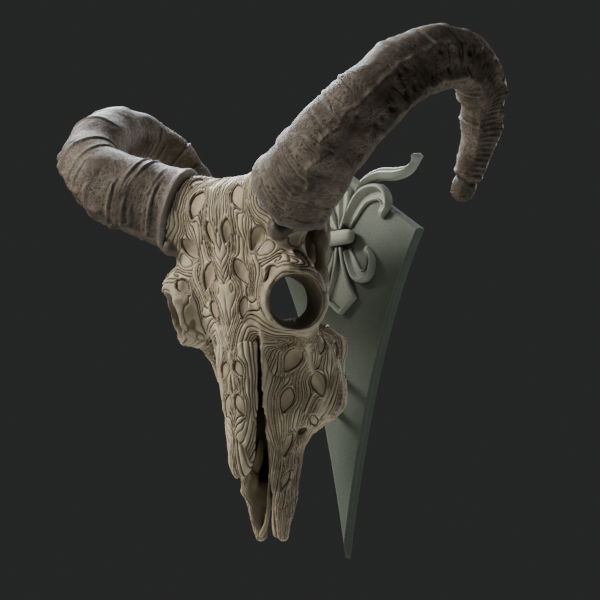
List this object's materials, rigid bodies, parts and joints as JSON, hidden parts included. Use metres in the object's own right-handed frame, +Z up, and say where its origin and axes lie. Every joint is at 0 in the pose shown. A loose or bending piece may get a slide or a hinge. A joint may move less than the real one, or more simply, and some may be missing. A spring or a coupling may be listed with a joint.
{
  "type": "mounted goat skull",
  "caption": "Life-size goat skull with heavy curled horns and a carved face, held by pins in front of a pointed wall plaque with a lily ornament in relief.",
  "frame": {"origin": "on the back of the plaque, on the mirror plane, at the height of the middle of the lily's band", "axes": "+Z up, +Y into the wall, the face looks along -Y, the animal's left is +X"},
  "size_m": [0.3106, 0.1545, 0.3085],
  "materials": {
    "bone": "dry cream bone with shallow carving, stained dark in the grooves",
    "horn": "dull brown-grey horn with cross wrinkles and fine fibres",
    "plaque": "sage-green matt paint",
    "ornament": "paler sage-green satin paint",
    "pin": "dull steel"
  },
  "bodies": {
    "root": {"cranium": "bone", "maxilla_left": "bone", "maxilla_right": "bone", "premaxilla_left": "bone", "premaxilla_right": "bone", "nasal_left": "bone", "nasal_right": "bone", "horn_left_base": "horn", "horn_left_middle": "horn", "horn_left_curl": "horn", "horn_left_tip": "horn", "horn_right_base": "horn", "horn_right_middle": "horn", "horn_right_curl": "horn", "horn_right_tip": "horn", "plaque": "plaque", "fleur_band": "ornament", "fleur_petal_centre": "ornament", "fleur_tail": "ornament", "fleur_scroll_left": "ornament", "fleur_scroll_right": "ornament", "fleur_leaf_left": "ornament", "fleur_leaf_right": "ornament", "fleur_curl_left": "ornament", "fleur_curl_right": "ornament", "mount_pin_upper": "pin", "mount_pin_lower": "pin"}
  },
  "joints": []
}
